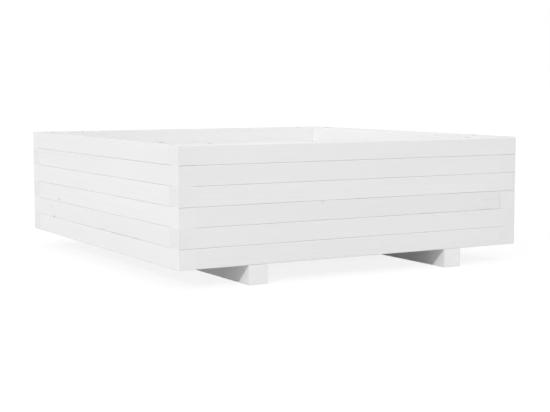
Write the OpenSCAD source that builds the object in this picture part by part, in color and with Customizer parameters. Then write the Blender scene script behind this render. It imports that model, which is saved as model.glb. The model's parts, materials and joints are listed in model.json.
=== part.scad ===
/* [Bed] */
// Outside width across the front
bed_w = 800; // [600:10:1200]
// Outside depth from front to back
bed_d = 800; // [600:10:1200]
// Courses of bars in each wall, counted from the rim down
courses = 6; // [3:1:8]

/* [Bars] */
// Height of a bar, which is one course of the wall
bar_h = 38.5; // [35:0.5:48]
// Thickness of a bar, which is the thickness of the wall
bar_t = 41; // [32:0.5:56]
// Rounding along a bar's four long edges
arris_r = 1; // [0.5:0.25:4]
// Bevel round the sawn ends of a bar, a runner or a slat
end_bevel = 0.5; // [0.2:0.1:1.5]

/* [Runners] */
// Distance in from the side of the bed to a runner
runner_inset = 147; // [110:1:200]
// Width of a runner
runner_w = 41; // [32:0.5:60]
// Height of a runner
runner_h = 38.5; // [35:0.5:48]

/* [Floor] */
// Width of a slat
slat_w = 94; // [60:1:120]
// Least gap between slats, and between a slat and the wall beside it
slat_gap_min = 6; // [3:0.5:15]
// Thickness of a slat
slat_t = 18; // [12:0.5:25]
// Rounding along a slat's long edges
slat_edge_r = 2; // [0.5:0.25:4]
// Gap between a slat's end and the wall
slat_play = 3; // [1:0.5:10]
// Distance from a slat's long edge to its screws
slat_screw_edge = 22; // [12:1:26]

/* [Wall screws] */
// Distance from the first end of a bar to its first screw
screw_inset = 76; // [66:1:110]
// Length of a wall screw
screw_len = 60; // [50:1:68]
// Diameter of a wall screw's head
screw_head_d = 9; // [7:0.5:11]
// Diameter of a wall screw's shank
screw_shank_d = 4.5; // [3.5:0.25:6]
// Depth of the recess that a wall screw's head sits in
recess_depth = 5; // [3:0.5:10]
// Width of the ledge left round the head in its recess
recess_ledge = 0.6; // [0.3:0.1:1.5]

/* [Floor screws] */
// Length of a floor screw
floor_screw_len = 40; // [30:1:50]
// Diameter of a floor screw's head
floor_head_d = 8; // [6:0.5:10]
// Diameter of a floor screw's shank
floor_shank_d = 4; // [3:0.25:5]

/* [Screw form] */
// Length of a screw's point
screw_tip = 7; // [4:0.5:12]
// Height of the straight rim round a countersunk head
head_rim = 0.4; // [0.2:0.1:1]
// Angle between the slope of a countersunk head and its axis
head_slope = 45; // [40:1:50]
// Depth of the cross cut in a head
drive_depth = 2.2; // [1.5:0.1:3]
// Width of one arm of the cross
drive_w = 1.1; // [0.8:0.1:1.5]
// Length of one arm of the cross, from tip to tip
drive_len = 4.6; // [3:0.1:5]

/* [Corner dowels] */
// Diameter of a dowel
dowel_d = 8; // [6:0.5:10]
// Length of a dowel
dowel_len = 26; // [16:1:28]
// Bevel at a dowel's ends
dowel_bevel = 0.8; // [0.4:0.1:1.5]

/* [Fits] */
// Gap all round a screw's shank in its pilot hole
pilot_play = 0.05; // [0.02:0.01:0.2]
// Gap all round a screw's shank where it passes through the upper piece
shank_play = 0.25; // [0.1:0.05:0.5]
// Gap all round a dowel in its hole
dowel_play = 0.05; // [0.02:0.01:0.2]
// Depth that a blind hole goes on past the end of its screw or dowel
hole_past_end = 1.5; // [0.5:0.5:3]

/* [Hidden] */
$fn = 48;
// How far a cutting shape stands out of the piece that it cuts
cut_past = 1;

walls = ["front", "right", "back", "left"];
// Each corner's name, and the side of the bed that it is on along X and along Y
corners = [
    ["front_left", -1, -1],
    ["front_right", 1, -1],
    ["back_right", 1, 1],
    ["back_left", -1, 1]
];

inner_w = bed_w - 2 * bar_t;
inner_d = bed_d - 2 * bar_t;

// Height of the underside of a course; course 1 is the rim
function course_z(course) = runner_h + (courses - course) * bar_h;
function is_odd(course) = course % 2 == 1;
function runs_along_x(wall) = wall == "front" || wall == "back";
function wall_length(wall) = runs_along_x(wall) ? bed_w : bed_d;

// The bars lap over each other at the corners by turns. In odd courses the front bar covers both front
// corners and the side bars cover the back ones. In even courses the side bars cover the front corners
// and the back bar covers both back ones. A bar that covers no corner there butts against the one that does.
function covers_first_corner(wall, course) = (wall == "front") == is_odd(course);
function covers_last_corner(wall, course) = (wall != "back") == is_odd(course);
function bar_start(wall, course) = covers_first_corner(wall, course) ? 0 : bar_t;
function bar_end(wall, course) = wall_length(wall) - (covers_last_corner(wall, course) ? 0 : bar_t);
function lap_places(wall, course) = [
    if (covers_first_corner(wall, course)) bar_t / 2,
    if (covers_last_corner(wall, course)) wall_length(wall) - bar_t / 2
];

// Every bar has the same pair of screws, set out from its first end, so they miss the pair below
function wall_screw_places(wall, course) = [
    bar_start(wall, course) + screw_inset,
    bar_start(wall, course) + wall_length(wall) - bar_t - screw_inset
];

runner_places = [
    -bed_w / 2 + runner_inset + runner_w / 2,
    bed_w / 2 - runner_inset - runner_w / 2
];
// The runners cross the front and back walls at these distances along them
runner_crossings = [for (place = runner_places) place + bed_w / 2];
slat_length = inner_w - 2 * slat_play;
slat_count = floor((inner_d - slat_gap_min) / (slat_w + slat_gap_min));
slat_gap = (inner_d - slat_count * slat_w) / (slat_count + 1);
slat_screw_offsets = [slat_screw_edge, slat_w - slat_screw_edge];
function slat_front(slat) = -inner_d / 2 + slat_gap + (slat - 1) * (slat_w + slat_gap);

screw_head_r = screw_head_d / 2;
screw_shank_r = screw_shank_d / 2;
recess_r = screw_head_r + recess_ledge;
// How far a wall screw reaches into the bar below
screw_reach = screw_len - (bar_h - recess_depth);
// How far a runner's screw reaches into the lowest bar
runner_screw_reach = screw_len - (runner_h - recess_depth);
floor_screw_reach = floor_screw_len - slat_t;

function bar_name(wall, course) = str(wall, "_bar_", course);
function slat_name(slat) = str("floor_slat_", slat);
function course_screws_name(course) = str("course_screws_", course);
function dowels_name(corner) = str(corner[0], "_dowels");

module paint() {
    color([0.94, 0.94, 0.93]) children();
}

module steel() {
    color([0.62, 0.62, 0.6]) children();
}

module beech() {
    color([0.83, 0.69, 0.5]) children();
}

// A rectangle with rounded corners
module rounded_section(width, height, r) {
    translate([r, 0]) square([width - 2 * r, height]);
    translate([0, r]) square([width, height - 2 * r]);
    for (x = [r, width - r], y = [r, height - r]) {
        translate([x, y]) circle(r);
    }
}

// A rectangle with bevelled corners
module bevelled_outline(length, height, bevel) {
    polygon([
        [bevel, 0],
        [length - bevel, 0],
        [length, bevel],
        [length, height - bevel],
        [length - bevel, height],
        [bevel, height],
        [0, height - bevel],
        [0, bevel]
    ]);
}

// A planed length of timber along X, with rounded long edges and bevelled ends
module timber(length, width, height, edge_r) {
    intersection() {
        rotate([90, 0, 90]) linear_extrude(length) rounded_section(width, height, edge_r);
        linear_extrude(height) bevelled_outline(length, width, end_bevel);
        translate([0, width, 0]) rotate([90, 0, 0]) linear_extrude(width) {
            bevelled_outline(length, height, end_bevel);
        }
    }
}

// A countersunk wood screw hanging from the middle of its head, point down
module wood_screw(length, head_r, shank_r) {
    slope_h = (head_r - shank_r) / tan(head_slope);
    difference() {
        rotate_extrude() polygon([
            [0, 0],
            [head_r, 0],
            [head_r, -head_rim],
            [shank_r, -head_rim - slope_h],
            [shank_r, -length + screw_tip],
            [0, -length]
        ]);
        for (turn = [0, 90]) {
            rotate(turn) translate([-drive_len / 2, -drive_w / 2, -drive_depth]) {
                cube([drive_len, drive_w, drive_depth + cut_past]);
            }
        }
    }
}

// The hole that a screw passes through, cut down from the face at the origin
module screw_passage(depth, head_r, shank_r, sunk, mouth_r) {
    hole_r = shank_r + shank_play;
    slope_h = (head_r - hole_r) / tan(head_slope);
    rotate_extrude() polygon([
        [0, cut_past],
        [mouth_r, cut_past],
        [mouth_r, -sunk],
        [head_r, -sunk],
        [head_r, -sunk - head_rim],
        [hole_r, -sunk - head_rim - slope_h],
        [hole_r, -depth - cut_past],
        [0, -depth - cut_past]
    ]);
}

// A blind hole cut down from the face at the origin
module blind_hole(depth, r) {
    translate([0, 0, -depth]) cylinder(h = depth + cut_past, r = r);
}

module wall_screw() {
    wood_screw(screw_len, screw_head_r, screw_shank_r);
}

module wall_screw_passage(depth) {
    screw_passage(depth, screw_head_r, screw_shank_r, recess_depth, recess_r);
}

// Puts a shape drawn along X, with the wall's thickness along Y, into its wall
module in_wall(wall) {
    x = wall == "right" ? bed_w / 2 : wall == "left" ? bar_t - bed_w / 2 : -bed_w / 2;
    y = wall == "back" ? bed_d / 2 - bar_t : -bed_d / 2;
    translate([x, y, 0]) rotate(runs_along_x(wall) ? 0 : 90) children();
}

// Puts copies of a shape at distances along a wall, on the middle of its thickness
module along_wall(places) {
    for (place = places) {
        translate([place, bar_t / 2, 0]) children();
    }
}

module bar(wall, course) {
    paint() in_wall(wall) translate([0, 0, course_z(course)]) difference() {
        translate([bar_start(wall, course), 0, 0]) {
            timber(bar_end(wall, course) - bar_start(wall, course), bar_t, bar_h, arris_r);
        }
        if (course < courses) {
            along_wall(wall_screw_places(wall, course)) translate([0, 0, bar_h]) {
                wall_screw_passage(bar_h);
            }
            along_wall(lap_places(wall, course)) mirror([0, 0, 1]) dowel_hole();
        }
        if (course > 1) {
            along_wall(wall_screw_places(wall, course - 1)) translate([0, 0, bar_h]) {
                blind_hole(screw_reach + hole_past_end, screw_shank_r + pilot_play);
            }
            along_wall(lap_places(wall, course)) translate([0, 0, bar_h]) dowel_hole();
        }
        if (course == courses && runs_along_x(wall)) {
            along_wall(runner_crossings) mirror([0, 0, 1]) {
                blind_hole(runner_screw_reach + hole_past_end, screw_shank_r + pilot_play);
            }
        }
    }
}

// Screws down through one course into the next
module course_screws(course) {
    steel() for (wall = walls) {
        in_wall(wall) along_wall(wall_screw_places(wall, course)) {
            translate([0, 0, course_z(course) + bar_h - recess_depth]) wall_screw();
        }
    }
}

module dowel_hole() {
    blind_hole(dowel_len / 2 + hole_past_end, dowel_d / 2 + dowel_play);
}

module dowel() {
    r = dowel_d / 2;
    rotate_extrude() polygon([
        [0, -dowel_len / 2],
        [r - dowel_bevel, -dowel_len / 2],
        [r, -dowel_len / 2 + dowel_bevel],
        [r, dowel_len / 2 - dowel_bevel],
        [r - dowel_bevel, dowel_len / 2],
        [0, dowel_len / 2]
    ]);
}

// The dowels of one corner, one in each joint between courses
module corner_dowels(corner) {
    beech() for (course = [2:courses]) {
        translate([
            corner[1] * (bed_w - bar_t) / 2,
            corner[2] * (bed_d - bar_t) / 2,
            course_z(course) + bar_h
        ]) dowel();
    }
}

module slat_crossings() {
    for (slat = [1:slat_count], offset = slat_screw_offsets) {
        translate([0, slat_front(slat) + offset, 0]) children();
    }
}

module runner(place) {
    paint() difference() {
        translate([place + runner_w / 2, -bed_d / 2, 0]) rotate(90) {
            timber(bed_d, runner_w, runner_h, arris_r);
        }
        for (side = [-1, 1]) {
            translate([place, side * (bed_d - bar_t) / 2, 0]) mirror([0, 0, 1]) {
                wall_screw_passage(runner_h);
            }
        }
        slat_crossings() translate([place, 0, runner_h]) {
            blind_hole(floor_screw_reach + hole_past_end, floor_shank_d / 2 + pilot_play);
        }
    }
}

// Screws up through the runners into the lowest front and back bars
module runner_screws() {
    steel() for (place = runner_places, side = [-1, 1]) {
        translate([place, side * (bed_d - bar_t) / 2, recess_depth]) mirror([0, 0, 1]) wall_screw();
    }
}

module floor_slat(slat) {
    paint() translate([-slat_length / 2, slat_front(slat), runner_h]) difference() {
        timber(slat_length, slat_w, slat_t, slat_edge_r);
        for (place = runner_places, offset = slat_screw_offsets) {
            translate([place + slat_length / 2, offset, slat_t]) {
                screw_passage(slat_t, floor_head_d / 2, floor_shank_d / 2, 0, floor_head_d / 2);
            }
        }
    }
}

module floor_screws() {
    steel() for (place = runner_places) {
        slat_crossings() translate([place, 0, runner_h + slat_t]) {
            wood_screw(floor_screw_len, floor_head_d / 2, floor_shank_d / 2);
        }
    }
}

for (wall = walls, course = [1:courses]) {
    bar(wall, course);
}
runner(runner_places[0]);  // runner_left
runner(runner_places[1]);  // runner_right
for (slat = [1:slat_count]) {
    floor_slat(slat);
}
course_screws(1);  // rim_screws
for (course = [2:courses - 1]) {
    course_screws(course);
}
runner_screws();
floor_screws();
for (corner = corners) {
    corner_dowels(corner);
}
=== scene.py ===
"""A square raised bed planter of stacked pine bars, painted white, on two runners."""

import json
import math
import random

import bmesh
import bpy
import numpy as np
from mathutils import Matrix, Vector, noise


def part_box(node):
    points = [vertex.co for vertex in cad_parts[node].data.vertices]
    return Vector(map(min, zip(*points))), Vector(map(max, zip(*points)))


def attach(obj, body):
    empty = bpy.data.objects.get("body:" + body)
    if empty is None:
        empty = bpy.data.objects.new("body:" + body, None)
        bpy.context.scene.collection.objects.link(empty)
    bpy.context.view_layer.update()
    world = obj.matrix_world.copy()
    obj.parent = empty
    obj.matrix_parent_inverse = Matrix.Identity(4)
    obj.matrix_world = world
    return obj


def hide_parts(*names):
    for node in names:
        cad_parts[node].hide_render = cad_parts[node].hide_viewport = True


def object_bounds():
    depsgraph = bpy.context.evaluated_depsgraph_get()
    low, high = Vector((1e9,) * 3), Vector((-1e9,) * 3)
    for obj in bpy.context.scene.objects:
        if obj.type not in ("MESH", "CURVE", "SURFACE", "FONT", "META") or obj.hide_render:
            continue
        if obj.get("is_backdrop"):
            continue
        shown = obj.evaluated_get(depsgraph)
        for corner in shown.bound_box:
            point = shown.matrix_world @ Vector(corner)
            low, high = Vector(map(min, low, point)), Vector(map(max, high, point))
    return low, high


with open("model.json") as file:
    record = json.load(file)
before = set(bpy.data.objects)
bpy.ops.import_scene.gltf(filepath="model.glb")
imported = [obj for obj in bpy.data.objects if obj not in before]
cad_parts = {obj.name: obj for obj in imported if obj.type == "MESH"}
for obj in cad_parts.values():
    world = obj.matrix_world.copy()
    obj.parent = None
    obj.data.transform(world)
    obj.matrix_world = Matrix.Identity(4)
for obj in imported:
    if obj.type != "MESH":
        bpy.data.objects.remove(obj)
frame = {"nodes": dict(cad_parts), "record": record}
cad_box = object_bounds()

MM = 0.001
UP = Vector((0, 0, 1))

# The bed's half width, a bar's thickness and the number of courses, from the frame
front_low, front_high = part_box("front_bar_1")
BED_REACH = front_high.x
BAR_THICK = front_high.y - front_low.y
COURSES = sum(node.startswith("front_bar_") for node in frame["nodes"])

# Timber: the rounding along its long edges, the bevel at its sawn ends, and how that bevel is
# eased, as pairs of shares of its depth and of its inset
ARRIS = {"bar": 1 * MM, "slat": 2 * MM}
END_BEVEL = 0.5 * MM
END_EASING = ((0.0, 1.0), (0.25, 0.75), (0.6, 0.4))
# How far the painted skin always lies inside the planed size
SKIN = 0.03 * MM
# The sides of a section, in the order that its outline is drawn. The left side is the outside of
# the front and left walls, and the inside of the back and right walls.
UNDERSIDE, RIGHT_SIDE, TOP_SIDE, LEFT_SIDE = range(4)
SIDES = 4

# Mesh round a section: spacing on the flats, next to the arrises and at the least, and the steps
# round an arris
FACE_CELL = 4 * MM
EDGE_CELL = 0.8 * MM
LEAST_CELL = 0.4 * MM
ARRIS_STEPS = 4
# Mesh along a timber: the usual spacing, the finest at a mark and the least
STATION_GAP = 18 * MM
FINE_GAP = 2 * MM
LEAST_GAP = 0.3 * MM
# Mesh at a mark: points each way across it, and the most and fewest sections over its reach
MARK_CELLS = 3
MOST_SECTIONS, FEWEST_SECTIONS = 12, 3
# Mesh on a sawn end: its rings of points, as shares of the outline
END_RINGS = (0.3, 0.55, 0.8)
# Points of a CAD mesh nearer than this are one, and edges sharper than this many degrees stay sharp
WELD = 0.001 * MM
SHARP_ANGLE = 40

# Unevenness of planed and painted timber: how hollow its upright sides and its bedded faces are,
# how much its arrises are worn, the lengths over which these change, and the marks of the saw
SIDE_BOW = 0.14 * MM
BED_BOW = 0.07 * MM
BOW_WAVE = 0.21
ARRIS_WEAR = 0.45 * MM
ARRIS_WAVE = 0.045
SAW_DEPTH = 0.08 * MM
SAW_WAVE = 6 * MM
# How far apart in the noise a timber's sides lie, and how strongly the noise shows in them
LANE_STEP = 9.7
DRIFT_SWING = 0.75

# Tones of the paint. 0 is plain paint, and each 1 takes it half of the way from the lightest paint
# to the darkest. A timber has the tone of its wall, the runners or the floor, and some of its own.
# The tones of the walls, the runners and the floor are painted light and shade: lighter where
# these get too little light, darker where they get too much.
WALL_LIGHT_AND_SHADE = {"front": 0.17, "left": 0.2, "back": -0.22, "right": -0.12, "runner": -0.2, "floor": -0.1}
OWN_TONE = 0.12
# Painted shade on the rim against the highlight it catches, by wall, and how far down its sides it
# goes
RIM_SHADE = {"front": 0.4, "left": 1.0, "back": 0.7, "right": 0.7}
RIM_DEPTH = 0.5 * ARRIS["bar"]
# The painted shade round the rim's screw recesses: the screws' places from the start of a bar, how
# far the shade reaches and its tone
RIM_SCREWS = (76 * MM, 683 * MM)
SCREW_SHADE_REACH = {"front": 6.5 * MM, "left": 6.5 * MM, "back": 10 * MM, "right": 10 * MM}
SCREW_SHADE_TONE = 2.4
# The darker paint at some bars' ends: how far it reaches and its tone
END_REACH = 26 * MM
END_TONE = {"front_bar_1": 0.24, "front_bar_3": 0.34, "front_bar_5": 0.34}
END_TONE.update({
    "%s_bar_%d" % (wall, course): 0.42
    for wall in ("back", "right") for course in (2, 4, 6)
})

# How much darker the end grain shows through the paint, as a share of the darkest: by wall, and
# for the bars of the front wall whose ends show
THIRST = {"front": 0.8, "back": 1.0, "left": 0.15, "right": 0.15, "runner": 0.15, "floor": 1.0}
END_THIRST = {"front_bar_1": 0.0, "front_bar_3": 0.45, "front_bar_5": 0.45}
# The share of an end's bevel over which its end grain comes in
SAWN_BAND = 0.6
# Deeper inside a timber than this, a face belongs to a bore and has no paint. Its bare wood is
# darkened far below bare pine, as painted shade in the hollow.
BORE_DEPTH = 1.2 * MM

# Growth rings: how far apart they are, how far off the pith lies and how much it leans
RING_GAP = 3.4 * MM
PITH_NEAR, PITH_FAR = 34 * MM, 95 * MM
PITH_LEAN = 0.012

# How far a mark's stain and its finer mesh go past its edge
MARK_HALO = 1.6
# Knots and dents that are scattered over the timbers: how many one timber may have of each, how far
# they stay from its ends, and the ranges of their height on its side, as a share of it, of their
# radius in mm and of how much longer than wide they are
SCATTER_COUNTS = (0, 1, 1, 2)
SCATTERED = {
    "knot": {"clear": 60 * MM, "band": (0.25, 0.75), "radius": (3, 6), "stretch": (1.1, 1.7)},
    "dent": {"clear": 30 * MM, "band": (0.05, 0.95), "radius": (1.5, 3), "stretch": (1, 3)},
}
# How deep a scattered knot is and how strongly it shows, and the range of a dent's depth in mm
KNOT_DEPTH, KNOT_STRENGTH = 0.25 * MM, 0.8
DENT_DEPTH = (0.2, 0.5)
# Marks that show on the left side of a timber, in mm: what they are, their place along the wall and
# below the timber's top, their reach along the grain, their radius across it and their depth. The
# last number is how strongly they show. A mark on a bar's lower edge lies LOWER_EDGE below its top.
LOWER_EDGE = 38.5
SEEN_MARKS = {
    # Painted shade along the first front bar's upper edge towards its left end, against a highlight
    "front_bar_1": [("tone", -330, 0, 90, 2.4, 0, 0.5)],
    "front_bar_4": [
        ("scuff_and_shade", -89, 2.6, 3, 2.6, 1.3, 1),
        ("scuff_and_shade", 323, 16.6, 12, 1.4, 0, 0.95),
        ("scuff_and_shade", 348, 15.6, 9, 1.1, 0, 0.7),
        # A thin dark line of painted shade along the open joint at the bar's end
        ("scuff_and_shade", 358.4, 20, 1.2, 19, 0, 0.55),
        ("dent", 165, LOWER_EDGE, 26, 2.6, 0.7, 1),
        ("dent", 328, LOWER_EDGE, 42, 2.6, 0.7, 1),
    ],
    "left_bar_4": [("knot", 228, 32.6, 10, 4.6, 0.45, 1)],
    "left_bar_5": [
        ("knot", 278, 13.6, 14, 7, 0.2, 0.72),
        ("scuff_and_shade", 265, 37, 8, 3.4, 1.4, 1),
        ("dent", -128, LOWER_EDGE, 125, 2.6, 0.5, 1),
        ("scuff_and_shade", -32, LOWER_EDGE, 14, 3.4, 1.0, 1),
        ("scuff_and_shade", -205, LOWER_EDGE, 14, 2.8, 0.6, 0.7),
    ],
    "left_bar_6": [("dent", 264, 0, 7, 3, 1.0, 1)],
    # Painted shade along the top of the first back bar's inner face, and painted light low down at its
    # left end, so that the face no longer darkens downwards and towards the corner
    "back_bar_1": [("tone", 0, 0, 1000, 14, 0, 0.3), ("tone", -300, 30, 200, 20, 0, -0.3)],
}
# What else sets single bars of the front and left walls apart: the rounder upper edge in front,
# the front's fourth bar with its own tone, its rise to the right and its wider bevel there, and
# the tone of the left wall's lowest bar
TOP_BAR_ROUNDER = 1.8 * MM
FOURTH_BAR_TONE, FOURTH_BAR_RISE = 0.06, 0.2
FOURTH_BAR_BEVEL = 0.9 * MM
LOWEST_LEFT_TONE = -0.1

# Paint in the upright butt joints at the corners: how deep it lies, how uneven and how hollow it
# is, and its rows of points
BEAD_DEPTH = 0.14 * MM
BEAD_UNEVEN = 0.4
BEAD_HOLLOW = 0.2
BEAD_ROWS = 13
# The length over which any bead changes, and how far apart in the noise beads lie that are a metre
# apart across and up
BEAD_WAVE = 5 * MM
BEAD_LANE, BEAD_LEVEL = 9, 90
# The joint that has opened, by its corner and course
OPEN_JOINTS = {("front_right", 4)}
# Paint in the seams between courses where bars lap at a corner: how deep it lies and how uneven
# it is, its half width and its back, the share of the lap where it begins to fade and how far
# towards its back it fades, and its rows of points
SEAM_DEPTH = 0.3 * MM
SEAM_UNEVEN = 0.15
SEAM_HALF = 1.3 * MM
SEAM_BACK = 1.6 * MM
SEAM_FADE = 0.6
SEAM_SINK = 0.9
SEAM_ROWS = 15
# The seams that are open to the corner: the wall that shows them and the course above them
OPEN_SEAMS = {
    "front_left": {("front", 1), ("front", 3), ("front", 5)},
    "front_right": {("front", 1), ("front", 2), ("front", 3)},
}

# The camera: its place, its tilt down and its turn to the right in degrees, and its lens and the
# width of its picture in mm
EYE = (-1.35, -2.4, 0.3721)
EYE_TILT = 5.526
EYE_TURN = 29.981
LENS = 79.59
PICTURE_WIDTH = 36

# The sky straight overhead and at the horizon, and how fast the horizon's band fades upwards
SKY_OVERHEAD = 1.1
SKY_HORIZON = 1.58
SKY_FALL = 4
# The lamp: its direction from the planter and how far off it is, the place that it looks at, the
# length of its sides and its watts
KEY_DIRECTION = Vector((-0.70, -0.528, 0.479))
KEY_FAR = 20.0
KEY_AIM = Vector((0, 0, 0.13))
KEY_SIZE = 1.3
KEY_POWER = 1547
# The floor: how far it goes each way, how much light it sends back up, and how pale it looks
FLOOR_REACH = 60
FLOOR_PALE = 0.6
FLOOR_SEEN = 0.97
# The seen floor's own glow, its share near the planter and where the rest fades out
FLOOR_GLOW = 1.04
GLOW_SHARE = 0.82
GLOW_NEAR, GLOW_FAR = 0.75, 1.5


class Value:
    """A number that varies over a surface. Arithmetic on it adds Math nodes."""

    def __init__(self, finish, socket):
        self.finish = finish
        self.socket = socket

    def math(self, operation, *numbers):
        sockets = dict(enumerate(numbers))
        return self.finish.add("ShaderNodeMath", {"operation": operation}, sockets)

    def __add__(self, other):
        return self.math("ADD", self, other)

    __radd__ = __add__

    def __sub__(self, other):
        return self.math("SUBTRACT", self, other)

    def __rsub__(self, other):
        return self.math("SUBTRACT", other, self)

    def __mul__(self, other):
        return self.math("MULTIPLY", self, other)

    __rmul__ = __mul__

    def __truediv__(self, other):
        return self.math("DIVIDE", self, other)

    def __pow__(self, other):
        return self.math("POWER", self, other)

    def fraction(self):
        return self.math("FRACT", self)

    def absolute(self):
        return self.math("ABSOLUTE", self)

    def larger(self, other):
        return self.math("MAXIMUM", self, other)


class Finish:
    """The nodes of a material or of the world. One method adds any node and returns its output."""

    def __init__(self, owner):
        self.owner = owner
        owner.use_nodes = True
        self.tree = owner.node_tree
        self.tree.nodes.clear()

    def add(self, kind, settings=None, sockets=None, output=0):
        node = self.tree.nodes.new(kind)
        for name, value in (settings or {}).items():
            setattr(node, name, value)
        for name, value in (sockets or {}).items():
            if isinstance(value, Value):
                self.tree.links.new(value.socket, node.inputs[name])
            else:
                node.inputs[name].default_value = value
        return Value(self, node.outputs[output]) if node.outputs else None

    def attribute(self, name, output="Fac"):
        return self.add("ShaderNodeAttribute", {"attribute_name": name}, output=output)

    def place(self):
        """The place on the object, in metres."""
        return self.add("ShaderNodeTexCoord", output="Object")

    def axis(self, vector, name):
        return self.add("ShaderNodeSeparateXYZ", {}, {"Vector": vector}, name)

    def stretched(self, vector, scale):
        settings = {"operation": "MULTIPLY"}
        return self.add("ShaderNodeVectorMath", settings, {0: vector, 1: scale})

    def noise(self, vector, scale, detail=2.0, roughness=0.5):
        """Noise from 0 to 1, with as many waves in a metre each way as scale says."""
        sockets = {
            "Vector": self.stretched(vector, scale),
            "Scale": 1.0,
            "Detail": detail,
            "Roughness": roughness,
        }
        return self.add("ShaderNodeTexNoise", {}, sockets)

    def step(self, value, low, high):
        """0 below low and 1 above high, with a smooth change between them."""
        settings = {"interpolation_type": "SMOOTHSTEP"}
        sockets = {"Value": value, "From Min": low, "From Max": high}
        return self.add("ShaderNodeMapRange", settings, sockets)

    def mixed(self, factor, first, second):
        settings = {"data_type": "RGBA"}
        return self.add("ShaderNodeMix", settings, {0: factor, 6: first, 7: second}, 2)

    def bump(self, height, distance):
        return self.add("ShaderNodeBump", {}, {"Height": height, "Distance": distance})

    def surface(self, **sockets):
        """Ends the material in a Principled shader with these sockets."""
        named = {name.replace("_", " "): value for name, value in sockets.items()}
        shader = self.add("ShaderNodeBsdfPrincipled", {}, named)
        self.add("ShaderNodeOutputMaterial", {}, {"Surface": shader})
        return self.owner


def new_finish(name):
    return Finish(bpy.data.materials.new(name))


def grey(level):
    return (level, level, level, 1)


def painted_pine():
    """Opaque white paint over planed pine, with its rings, grain and knots just showing."""
    lightest, darkest = grey(0.875), grey(0.705)
    knot_colour = (0.6, 0.595, 0.585, 1)
    end_grain = grey(0.735)
    scuffed_and_shaded = (0.62, 0.615, 0.61, 1)
    # The bores' bare wood, darkened with painted shade of the hollows
    shaded_bare_early, shaded_bare_late = (0.13, 0.115, 0.095, 1), (0.08, 0.07, 0.055, 1)
    relief = 0.11 * MM

    finish = new_finish("painted_pine")
    place = finish.attribute("wood_place", "Vector")
    knot = finish.attribute("knot")
    sawn = finish.attribute("sawn_end")
    scuff_and_shade = finish.attribute("scuff_and_shade")
    tone = finish.attribute("tone")
    bored = finish.attribute("bored")
    across, up = finish.axis(place, "Y"), finish.axis(place, "Z")

    sway = finish.noise(place, (4, 45, 45), 2.0)
    from_pith = (across * across + up * up) ** 0.5
    ring = ((from_pith + sway * 2.6 * MM + knot * 5 * MM) / RING_GAP).fraction()
    late_wood = ring * ring * ring
    fibres = finish.noise(place, (14, 900, 900), 3.0, 0.6)
    clouds = finish.noise(place, (5, 26, 26), 2.0)
    film = finish.noise(place, (420, 560, 560), 2.0)
    checks = finish.step(finish.noise(place, (9, 760, 760), 4.0, 0.7), 0.5, 0.62)
    heart = finish.step(knot, 0.45, 0.75)
    knot_rim = finish.step(knot, 0.36, 0.46) - finish.step(knot, 0.5, 0.62)

    # The tone carries painted light and shade from the walls, the rim, its screws and the back bar,
    # besides the paint's own tone
    shade = 0.5 * tone + clouds * 0.18 + fibres * 0.13 + late_wood * 0.1
    colour = finish.mixed(shade, lightest, darkest)
    colour = finish.mixed(heart * (0.45 + 0.4 * fibres), colour, knot_colour)
    colour = finish.mixed(sawn * (0.2 + 0.25 * late_wood), colour, end_grain)
    # Scuffs, and one thin line of painted shade along an open joint
    colour = finish.mixed(scuff_and_shade * (0.35 + 0.5 * checks), colour, scuffed_and_shaded)
    # Bare wood in the bores, with painted shade
    colour = finish.mixed(bored, colour, finish.mixed(late_wood, shaded_bare_early, shaded_bare_late))

    grain = late_wood * 0.4 + fibres * 0.35
    height = grain * (1 - 0.6 * sawn) + film * 0.16 - knot_rim * 0.8 - scuff_and_shade * checks * 0.8
    return finish.surface(
        Base_Color=colour,
        Roughness=0.5 + fibres * 0.14 + clouds * 0.08,
        Normal=finish.bump(height, relief),
    )


def zinc_plated_steel():
    """Zinc-plated screws, a little dulled, with fine turning marks."""
    bright, cloudy = (0.56, 0.56, 0.55, 1), (0.42, 0.42, 0.415, 1)
    tarnish = (0.36, 0.35, 0.33, 1)

    finish = new_finish("zinc_plated_steel")
    place = finish.place()
    spangle = finish.noise(place, (900, 900, 900), 3.0, 0.6)
    turning = finish.noise(place, (400, 400, 5200), 2.0)
    dull = finish.step(finish.noise(place, (160, 160, 160), 2.0), 0.5, 0.75)
    return finish.surface(
        Base_Color=finish.mixed(dull * 0.5, finish.mixed(spangle, bright, cloudy), tarnish),
        Metallic=0.9,
        Roughness=0.34 + spangle * 0.2,
        Normal=finish.bump(turning + spangle, 0.05 * MM),
    )


def turned_beech():
    """Bare beech dowels, with short dark flecks along the grain."""
    pale, ruddy = (0.64, 0.44, 0.26, 1), (0.5, 0.32, 0.17, 1)
    fleck_colour = (0.3, 0.17, 0.08, 1)

    finish = new_finish("turned_beech")
    place = finish.place()
    grain = finish.noise(place, (700, 700, 60), 3.0, 0.6)
    flecks = finish.step(finish.noise(place, (1500, 1500, 260), 2.0), 0.58, 0.7)
    return finish.surface(
        Base_Color=finish.mixed(flecks * 0.6, finish.mixed(grain, pale, ruddy), fleck_colour),
        Roughness=0.6 + grain * 0.2,
        Normal=finish.bump(grain - flecks, 0.08 * MM),
    )


def placed(name, data):
    """Puts a new object with this data into the scene."""
    piece = bpy.data.objects.new(name, data)
    bpy.context.scene.collection.objects.link(piece)
    return piece


def stored(name, mesh):
    """Turns a closed mesh's faces outwards and stores it."""
    bmesh.ops.recalc_face_normals(mesh, faces=mesh.faces)
    data = bpy.data.meshes.new(name)
    mesh.to_mesh(data)
    mesh.free()
    return data


def rows_of(items, field):
    """The places of a mesh's points or of the middles of its faces, one in a row."""
    flat = np.empty(len(items) * 3)
    items.foreach_get(field, flat)
    return flat.reshape(-1, 3)


def write_numbers(data, name, values, domain="POINT"):
    layer = data.attributes.new(name, "FLOAT", domain)
    layer.data.foreach_set("value", values.astype(np.float32))


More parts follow.
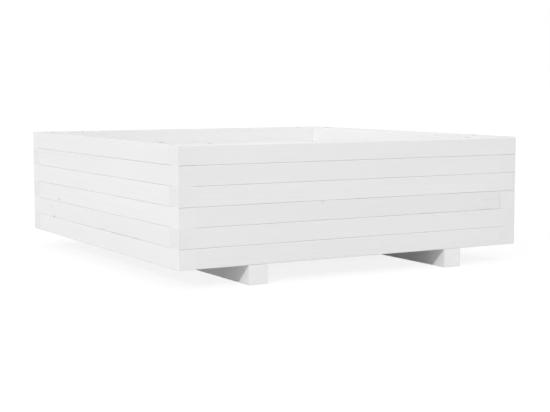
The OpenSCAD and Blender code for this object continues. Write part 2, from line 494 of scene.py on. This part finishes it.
def write_wood_place(data, places):
    layer = data.attributes.new("wood_place", "FLOAT_VECTOR", "POINT")
    layer.data.foreach_set("vector", places.astype(np.float32).ravel())


class Mark:
    """A dent, knot, scuff or patch of another tone on one side of a timber: how far it reaches
    along the grain, its radius across it, how deep it goes and how strongly it shows. One scuff and
    a few patches of tone are painted shade, and one patch is painted light."""

    def __init__(self, kind, side, along, across, reach, radius, depth=0.0, strength=1.0):
        self.kind = kind
        self.side = side
        self.along = along
        self.across = across
        self.reach = reach
        self.radius = radius
        self.depth = depth
        self.strength = strength


class Timber:
    """One length of timber in its own terms: along its grain, across it and up. Its paint may be
    darker towards its far end and at both ends, and darker with painted shade on its top; its last
    bevel may be wider, and the arris that follows each side may be rounder."""

    def __init__(self, node):
        self.node = node
        self.low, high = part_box(node)
        size = high - self.low
        self.axis = 0 if size.x > size.y else 1
        self.order = (0, 1, 2) if self.axis == 0 else (1, 0, 2)
        self.length = size[self.axis]
        self.width = size[1 - self.axis]
        self.height = size.z
        self.arris = ARRIS["slat" if "slat" in node else "bar"]
        self.dice = random.Random(node)
        self.phase = self.dice.uniform(0, 100)
        self.group = node.split("_")[0]
        # The wall's tone is painted light and shade; the timber's own share is the paint's own tone
        self.tone = WALL_LIGHT_AND_SHADE[self.group] + self.dice.uniform(0, OWN_TONE)
        self.tone_rise = 0.0
        self.end_tone = END_TONE.get(node, 0.0)
        self.top_shade = 0.0
        self.thirst = END_THIRST.get(node, THIRST[self.group])
        self.last_bevel = END_BEVEL
        self.rounder = [0.0] * SIDES
        self.marks = []

    def into_world(self, points):
        """Rows of along, across and up to rows of X, Y and Z."""
        return points[:, self.order] + np.array(self.low)

    def from_world(self, points):
        """Rows of X, Y and Z to rows of along, across and up."""
        return (points - np.array(self.low))[:, self.order]

    def drift(self, along, lane, wave):
        """A slow change along the timber, from 0 to 1, different for each lane."""
        value = noise.noise(Vector((along / wave, lane * LANE_STEP, self.phase)))
        return min(1.0, max(0.0, 0.5 + DRIFT_SWING * value))


def mark_shares(timber, mark, flat):
    """Places across a side that a mark needs points at, as shares of the side's flat."""
    steps = [mark.across + mark.radius * step / MARK_CELLS - timber.arris
             for step in range(-MARK_CELLS, MARK_CELLS + 1)]
    if mark.side in (TOP_SIDE, LEFT_SIDE):
        steps = [flat - step for step in steps]
    return [step / flat for step in steps]


def last_share(plan, side):
    """The share of the plan's last point, if that is on this side."""
    return plan[-1][1] if plan and plan[-1][0] == side else -1.0


def outline_plan(timber):
    """The points round a section: (side, share of the way over it, share of the way round the
    arris that follows it). The last is None on the flat."""
    plan = []
    spans = (timber.width, timber.height, timber.width, timber.height)
    for side, span in enumerate(spans):
        flat = span - 2 * timber.arris
        cells = max(2, round(flat / FACE_CELL))
        edge, least = EDGE_CELL / flat, LEAST_CELL / flat
        shares = [edge] + [cell / cells for cell in range(1, cells)]
        shares += [share for mark in timber.marks if mark.side == side
                   for share in mark_shares(timber, mark, flat) if edge < share < 1 - edge]
        for share in sorted(shares):
            if share - last_share(plan, side) > least:
                plan.append((side, share, None))
        plan.append((side, 1 - edge, None))
        plan += [(side, 1.0, step / ARRIS_STEPS) for step in range(ARRIS_STEPS + 1)]
    return plan


def section_at(timber, plan, along, inset):
    """The outline at one place along the timber, with its outward directions."""
    bow = [
        inset + SKIN + timber.drift(along, side, BOW_WAVE)
        * (BED_BOW if side in (UNDERSIDE, TOP_SIDE) else SIDE_BOW)
        for side in range(SIDES)
    ]
    radii = [
        max(timber.arris + timber.rounder[side] - inset, 0) + 2 * SKIN
        + ARRIS_WEAR * timber.drift(along, SIDES + side, ARRIS_WAVE) ** 2
        for side in range(SIDES)
    ]
    low = (bow[LEFT_SIDE], bow[UNDERSIDE])
    high = (timber.width - bow[RIGHT_SIDE], timber.height - bow[TOP_SIDE])
    centres = (
        (high[0] - radii[0], low[1] + radii[0]),
        (high[0] - radii[1], high[1] - radii[1]),
        (low[0] + radii[2], high[1] - radii[2]),
        (low[0] + radii[3], low[1] + radii[3]),
    )

    def round_arris(side, share):
        angle = math.radians(-90 + 90 * (side + share))
        direction = (math.cos(angle), math.sin(angle))
        centre, radius = centres[side], radii[side]
        return (centre[0] + radius * direction[0], centre[1] + radius * direction[1]), direction

    points, directions = [], []
    for side, share, turned in plan:
        if turned is None:
            start, direction = round_arris(side - 1 if side else SIDES - 1, 1.0)
            end = round_arris(side, 0.0)[0]
            point = (
                start[0] + share * (end[0] - start[0]),
                start[1] + share * (end[1] - start[1]),
            )
        else:
            point, direction = round_arris(side, turned)
        points.append(point)
        directions.append(direction)
    return np.array(points), np.array(directions)


def station_places(timber):
    """Where the sections are along the timber: closer together at each mark."""
    first, last = END_BEVEL + 2 * SKIN, timber.length - timber.last_bevel - 2 * SKIN
    count = round((last - first) / STATION_GAP)
    places = list(np.linspace(first, last, count + 1))
    for mark in timber.marks:
        reach = mark.reach * MARK_HALO
        gap = min(max(FINE_GAP, reach / MOST_SECTIONS), reach / FEWEST_SECTIONS)
        places += list(np.arange(mark.along - reach, mark.along + reach, gap))
    kept = []
    for place in sorted(places):
        if first <= place <= last and (not kept or place - kept[-1] > LEAST_GAP):
            kept.append(place)
    return kept


def mark_distance(timber, mark, points):
    """How far each point is from the middle of a mark: 1 at its edge."""
    across, up = {
        UNDERSIDE: (mark.across, 0.0),
        RIGHT_SIDE: (timber.width, mark.across),
        TOP_SIDE: (mark.across, timber.height),
        LEFT_SIDE: (0.0, mark.across),
    }[mark.side]
    middle = np.array((mark.along, across, up))
    spread = np.array((mark.reach, mark.radius, mark.radius))
    return np.linalg.norm((points - middle) / spread, axis=1)


def worn_skin(timber):
    """The painted surface of a timber, before its holes are drilled: its points, ring after ring
    from one end to the other, and how many there are round a ring and how many rings."""
    plan = outline_plan(timber)
    middle = np.array((timber.width / 2, timber.height / 2))
    rings = []

    def add_ring(along, inset, shrink, face):
        points, directions = section_at(timber, plan, along, inset)
        points = middle + (points - middle) * shrink
        columns = np.full((len(points), 1), along)
        outward = np.full((len(points), 1), float(face))
        flat = directions * (0.0 if face and shrink < 1 else 1.0)
        rings.append((np.hstack((columns, points)), np.hstack((outward, flat))))

    for shrink in END_RINGS:
        add_ring(SKIN, END_BEVEL + SKIN, shrink, -1)
    for depth, inset in END_EASING:
        add_ring(SKIN + depth * END_BEVEL, inset * END_BEVEL + SKIN, 1.0, 0)
    for along in station_places(timber):
        add_ring(along, 0.0, 1.0, 0)
    bevel = timber.last_bevel
    for depth, inset in reversed(END_EASING):
        add_ring(timber.length - SKIN - depth * bevel, inset * bevel + SKIN, 1.0, 0)
    for shrink in reversed(END_RINGS):
        add_ring(timber.length - SKIN, bevel + SKIN, shrink, 1)

    points = np.vstack([ring for ring, _ in rings])
    outward = np.vstack([directions for _, directions in rings])
    for mark in timber.marks:
        away = mark_distance(timber, mark, points)
        dish = np.where(away < 1, 0.5 + 0.5 * np.cos(np.pi * away), 0.0)
        points -= outward * (mark.depth * dish)[:, None]
    for row in range(len(points)):
        if outward[row, 0]:
            saw = noise.noise(Vector(points[row] / SAW_WAVE + timber.phase))
            points[row, 0] -= outward[row, 0] * SAW_DEPTH * (0.5 + 0.5 * saw)
    return points, len(plan), len(rings)


def skin_mesh(timber):
    """Builds the skin as a closed mesh in the world's axes."""
    points, around, ring_count = worn_skin(timber)
    middle = (timber.width / 2, timber.height / 2)
    tips = np.array([
        (SKIN + SAW_DEPTH / 2, *middle),
        (timber.length - SKIN - SAW_DEPTH / 2, *middle),
    ])
    world = timber.into_world(np.vstack((points, tips)))
    mesh = bmesh.new()
    corners = [mesh.verts.new(point) for point in world]
    first_tip, last_tip = len(points), len(points) + 1
    last_ring = (ring_count - 1) * around
    for step in range(around):
        following = (step + 1) % around
        for ring in range(ring_count - 1):
            near, far = ring * around, (ring + 1) * around
            face = (near + step, near + following, far + following, far + step)
            mesh.faces.new([corners[i] for i in face])
        mesh.faces.new([corners[i] for i in (following, step, first_tip)])
        mesh.faces.new([corners[i] for i in (last_ring + step, last_ring + following, last_tip)])
    return stored(timber.node + "_worn", mesh)


def drilled(piece, node):
    """Gives a piece the holes of its CAD node, by keeping only what lies in both."""
    solid = bmesh.new()
    solid.from_mesh(frame["nodes"][node].data)
    bmesh.ops.remove_doubles(solid, verts=solid.verts, dist=WELD)
    data = bpy.data.meshes.new("drilling")
    solid.to_mesh(data)
    solid.free()
    tool = placed("drilling", data)
    cut = piece.modifiers.new("drilled", "BOOLEAN")
    cut.operation = "INTERSECT"
    cut.solver = "EXACT"
    cut.object = tool
    graph = bpy.context.evaluated_depsgraph_get()
    result = bpy.data.meshes.new_from_object(piece.evaluated_get(graph))
    piece.modifiers.clear()
    piece.data = result
    bpy.data.objects.remove(tool)


def wood_attributes(timber, data):
    """Writes what the paint reads at each point: its place in the tree, knots, ends, scuffs with a
    line of painted shade, and tones that carry painted light and shade.
    """
    points = timber.from_world(rows_of(data.vertices, "co"))
    pith_angle = timber.dice.uniform(0, 2 * math.pi)
    pith_reach = timber.dice.uniform(PITH_NEAR, PITH_FAR)
    lean = [timber.dice.uniform(-PITH_LEAN, PITH_LEAN) for _ in range(2)]
    place = points.copy()
    place[:, 0] += timber.phase
    place[:, 1] -= timber.width / 2 + pith_reach * math.cos(pith_angle) + lean[0] * points[:, 0]
    place[:, 2] -= timber.height / 2 + pith_reach * math.sin(pith_angle) + lean[1] * points[:, 0]
    write_wood_place(data, place)

    from_end = np.minimum(points[:, 0], timber.length - points[:, 0])
    sawn = np.clip((END_BEVEL - from_end) / (SAWN_BAND * END_BEVEL), 0, 1)
    tone = timber.tone + timber.tone_rise * points[:, 0] / timber.length
    tone += timber.end_tone * np.exp(-from_end / END_REACH)
    # Painted shade on the rim's top and the upper half of its arrises
    tone += timber.top_shade * (points[:, 2] > timber.height - RIM_DEPTH)
    fields = {
        "sawn_end": sawn * timber.thirst,
        "knot": np.zeros(len(points)),
        "scuff_and_shade": np.zeros(len(points)),
        "tone": tone,
    }
    for mark in timber.marks:
        if mark.kind in fields:
            near = np.clip(1 - mark_distance(timber, mark, points) / MARK_HALO, 0, 1)
            fields[mark.kind] += near * mark.strength
    for name, values in fields.items():
        write_numbers(data, name, values)

    middles = timber.from_world(rows_of(data.polygons, "center"))
    size = np.array((timber.length, timber.width, timber.height))
    depth = np.minimum(middles, size - middles).min(axis=1)
    write_numbers(data, "bored", depth > BORE_DEPTH, "FACE")


def scatter_marks(timber):
    """A few knots and dents, as pine has, on the upright sides apart from the outsides of the front
    and left walls, which have those of the photo."""
    sides = (RIGHT_SIDE,) if timber.group in ("front", "left") else (RIGHT_SIDE, LEFT_SIDE)
    dice = timber.dice
    for kind, spread in SCATTERED.items():
        for _ in range(dice.choice(SCATTER_COUNTS)):
            side = dice.choice(sides)
            radius = dice.uniform(*spread["radius"]) * MM
            along = dice.uniform(spread["clear"], timber.length - spread["clear"])
            across = dice.uniform(*spread["band"]) * timber.height
            size = (radius * dice.uniform(*spread["stretch"]), radius)
            if kind == "knot":
                shown = (KNOT_DEPTH, KNOT_STRENGTH)
            else:
                shown = (dice.uniform(*DENT_DEPTH) * MM,)
            timber.marks.append(Mark(kind, side, along, across, *size, *shown))


def rim_screw_shade(timber):
    """Painted shade round the screw recesses on top of the first course."""
    reach = SCREW_SHADE_REACH[timber.group]
    for place in RIM_SCREWS:
        timber.marks.append(
            Mark("tone", TOP_SIDE, place, timber.width / 2, reach, reach, 0.0, SCREW_SHADE_TONE))


def seen_marks(timber):
    """The marks of the photo on the outside of the front and left walls and inside the back one."""
    for kind, place, below, *size, strength in SEEN_MARKS.get(timber.node, ()):
        along = place * MM - timber.low[timber.axis]
        across = timber.height - below * MM
        reach, radius, depth = (number * MM for number in size)
        timber.marks.append(Mark(kind, LEFT_SIDE, along, across, reach, radius, depth, strength))


def rim_shade_and_single_bars(timber):
    """Sets the rim and a few single bars apart, as the photo shows them."""
    if timber.node.endswith("_bar_1"):
        # The rim gets painted shade on its top and round its screw recesses
        timber.top_shade = RIM_SHADE[timber.group]
        rim_screw_shade(timber)
    if timber.node == "front_bar_1":
        timber.rounder[TOP_SIDE] = TOP_BAR_ROUNDER
    if timber.node == "front_bar_4":
        timber.tone += FOURTH_BAR_TONE
        timber.tone_rise = FOURTH_BAR_RISE
        timber.last_bevel = FOURTH_BAR_BEVEL
    if timber.node == "left_bar_6":
        timber.tone += LOWEST_LEFT_TONE


def painted_timber(node, paint):
    """Builds one painted timber in place of its CAD node."""
    timber = Timber(node)
    scatter_marks(timber)
    rim_shade_and_single_bars(timber)
    seen_marks(timber)
    piece = placed("painted_" + node, skin_mesh(timber))
    drilled(piece, node)
    data = piece.data
    wood_attributes(timber, data)
    data.materials.clear()
    data.materials.append(paint)
    data.polygons.foreach_set("use_smooth", [True] * len(data.polygons))
    data.set_sharp_from_angle(angle=math.radians(SHARP_ANGLE))
    weighted = piece.modifiers.new("flat_faces", "WEIGHTED_NORMAL")
    weighted.keep_sharp = True
    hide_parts(node)
    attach(piece, "root")


def outwards_at(corner):
    """The two ways out of the bed at a corner, as signs in X and Y."""
    across_wall, side_wall = corner.split("_")
    return Vector((-1 if side_wall == "left" else 1, -1 if across_wall == "front" else 1, 0))


def steps_at(axis, ahead, outwards):
    """Unit steps along a wall that runs along an axis, and out of that wall."""
    along, out = Vector((0, 0, 0)), Vector((0, 0, 0))
    along[axis], out[1 - axis] = ahead, outwards[1 - axis]
    return along, out


def butt_joints(corner):
    """Where a bar's end meets the side of the bar that laps it, on the outside of a corner: the
    joint's middle low down, the way along the wall, the way out of it, and its height."""
    outwards = outwards_at(corner)
    for course in range(1, COURSES + 1):
        if (corner, course) in OPEN_JOINTS:
            continue
        across_box, side_box = (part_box("%s_bar_%d" % (wall, course)) for wall in corner.split("_"))
        low, high = across_box
        reach = high.x if outwards.x > 0 else -low.x
        lapped = abs(reach - BED_REACH) < END_BEVEL
        axis = 1 if lapped else 0
        low, high = side_box if lapped else across_box
        along, out = steps_at(axis, 1, outwards)
        end = high if outwards[axis] > 0 else low
        middle = along * end[axis] + out * BED_REACH
        middle.z = low.z
        yield middle, along, out, high.z - low.z


def lap_seams(corner):
    """Where two courses meet in the lap of a corner, on both of its outsides: the seam's place at
    the corner's edge, the way along the wall and the way out of it."""
    outwards = outwards_at(corner)
    walls = corner.split("_")
    for course in range(1, COURSES):
        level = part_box("%s_bar_%d" % (walls[0], course))[0].z
        for axis, wall in enumerate(walls):
            if (wall, course) not in OPEN_SEAMS.get(corner, ()):
                along, out = steps_at(axis, -outwards[axis], outwards)
                yield outwards * BED_REACH + UP * level, along, out


def bead(mesh, across, out, rows):
    """A closed bead. Each row has its middle and its corners' places across it and depths."""
    rings = [[mesh.verts.new(middle + across * step - out * deep) for step, deep in profile]
             for middle, profile in rows]
    for lower, upper in zip(rings, rings[1:]):
        for step in range(len(lower)):
            following = (step + 1) % len(lower)
            mesh.faces.new([lower[step], lower[following], upper[following], upper[step]])
    mesh.faces.new(rings[0])
    mesh.faces.new(rings[-1])


def seam_beads(mesh, corner):
    """Paint that bridges the seams in a corner's lap and fades out towards the wall."""
    for edge, along, out in lap_seams(corner):
        rows = []
        for place in np.linspace(SEAM_DEPTH, BAR_THICK, SEAM_ROWS):
            fade = max(0.0, (place / BAR_THICK - SEAM_FADE) / (1 - SEAM_FADE))
            spot = Vector((place / BEAD_WAVE, edge.z * BEAD_LEVEL, along.x + edge.y))
            depth = SEAM_DEPTH * (1 + SEAM_UNEVEN * noise.noise(spot))
            depth += fade * (SEAM_BACK - SEAM_DEPTH) * SEAM_SINK
            profile = ((-SEAM_HALF, depth), (0, depth), (SEAM_HALF, depth), (0, SEAM_BACK))
            rows.append((edge + along * place, profile))
        bead(mesh, UP, out, rows)


def joint_beads(mesh, corner):
    """Paint that has filled a corner's tight butt joints level with the bars."""
    for middle, along, out, height in butt_joints(corner):
        first, last = ARRIS["bar"] + 2 * SKIN, height - ARRIS["bar"] - 2 * SKIN
        rows = []
        for up in np.linspace(first, last, BEAD_ROWS):
            spot = Vector((up / BEAD_WAVE, middle.x * BEAD_LANE, middle.z * BEAD_LEVEL))
            depth = BEAD_DEPTH * (1 + BEAD_UNEVEN * noise.noise(spot))
            half = END_BEVEL - depth + SKIN
            hollow = depth + BEAD_HOLLOW * half
            profile = ((-half, depth), (0, hollow), (half, depth), (0, END_BEVEL))
            rows.append((middle + UP * up, profile))
        bead(mesh, along, out, rows)


def joint_paint(corner, paint):
    """The paint in a corner's seams and butt joints, as one piece."""
    mesh = bmesh.new()
    seam_beads(mesh, corner)
    joint_beads(mesh, corner)
    data = stored(corner + "_joint_paint", mesh)
    write_wood_place(data, rows_of(data.vertices, "co") + PITH_NEAR)
    data.materials.append(paint)
    piece = placed(corner + "_joint_paint", data)
    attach(piece, "root")


def refinish(node, material):
    """Gives a CAD node that stays another material."""
    data = frame["nodes"][node].data
    data.materials.clear()
    data.materials.append(material)


def camera():
    """The photograph's view."""
    data = bpy.data.cameras.new("camera")
    data.lens = LENS
    data.sensor_width = PICTURE_WIDTH
    eye = placed("camera", data)
    eye.location = EYE
    eye.rotation_euler = (math.radians(90 - EYE_TILT), 0, math.radians(-EYE_TURN))
    bpy.context.scene.camera = eye


def seen_directly(finish):
    """1 for rays from the eye, a mirror or a clear piece, and else 0."""
    rays = [finish.add("ShaderNodeLightPath", output=name)
            for name in ("Is Camera Ray", "Is Glossy Ray", "Is Transmission Ray")]
    return rays[0].larger(rays[1]).larger(rays[2])


def floor():
    """A pale floor that shows white, with the planter's shadow on it."""
    sides = ((-1, -1), (1, -1), (1, 1), (-1, 1))
    corners = [(x * FLOOR_REACH, y * FLOOR_REACH, 0) for x, y in sides]
    data = bpy.data.meshes.new("floor")
    data.from_pydata(corners, [], [(0, 1, 2, 3)])
    finish = new_finish("floor")
    place = finish.add("ShaderNodeNewGeometry", output="Position")
    away = finish.add("ShaderNodeVectorMath", {"operation": "LENGTH"}, {0: place}, "Value")
    glow_share = GLOW_SHARE + (1 - GLOW_SHARE) * finish.step(away, GLOW_NEAR, GLOW_FAR)
    seen = finish.add("ShaderNodeBsdfDiffuse", {}, {"Color": grey(FLOOR_SEEN)})
    glow = finish.add("ShaderNodeEmission", {}, {"Color": grey(1), "Strength": FLOOR_GLOW})
    pale = finish.add("ShaderNodeMixShader", {}, {0: glow_share, 1: seen, 2: glow})
    bounce = finish.add("ShaderNodeBsdfDiffuse", {}, {"Color": grey(FLOOR_PALE)})
    both = finish.add("ShaderNodeMixShader", {}, {0: seen_directly(finish), 1: bounce, 2: pale})
    finish.add("ShaderNodeOutputMaterial", {}, {"Surface": both})
    data.materials.append(finish.owner)
    piece = placed("floor", data)
    piece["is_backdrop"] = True


def sky():
    """Soft light from all round, more of it from low down, and plain white where it is seen."""
    bpy.context.scene.world = bpy.data.worlds.new("sky")
    finish = Finish(bpy.context.scene.world)
    place = finish.add("ShaderNodeTexCoord", output="Generated")
    steep = finish.axis(place, "Z").absolute()
    strength = SKY_OVERHEAD * steep + SKY_HORIZON * (1 - steep) ** SKY_FALL
    even = finish.add("ShaderNodeBackground", {}, {"Color": grey(1), "Strength": strength})
    white = finish.add("ShaderNodeBackground", {}, {"Color": grey(1), "Strength": 1.0})
    both = finish.add("ShaderNodeMixShader", {}, {0: seen_directly(finish), 1: even, 2: white})
    finish.add("ShaderNodeOutputWorld", {}, {"Surface": both})


def key_lamp():
    """A firm square lamp, far off at the front left, that looks at the middle of the planter."""
    data = bpy.data.lights.new("key", "AREA")
    data.size = KEY_SIZE
    data.energy = KEY_POWER
    lamp = placed("key", data)
    lamp.location = KEY_DIRECTION * KEY_FAR
    lamp.rotation_euler = (KEY_AIM - lamp.location).to_track_quat("-Z", "Y").to_euler()


camera()
floor()
sky()
key_lamp()
paint = painted_pine()
bare = {"screw_steel": zinc_plated_steel(), "beech": turned_beech()}
for part in frame["record"]["subparts"]:
    if part["material_slot"] in bare:
        refinish(part["node"], bare[part["material_slot"]])
    else:
        painted_timber(part["node"], paint)
for corner in ("front_left", "front_right", "back_left", "back_right"):
    joint_paint(corner, paint)
bpy.context.scene.view_settings.view_transform = "Standard"

boxes = {"cad": cad_box, "visual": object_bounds()}
{name: [list(corner) for corner in box] for name, box in boxes.items()}
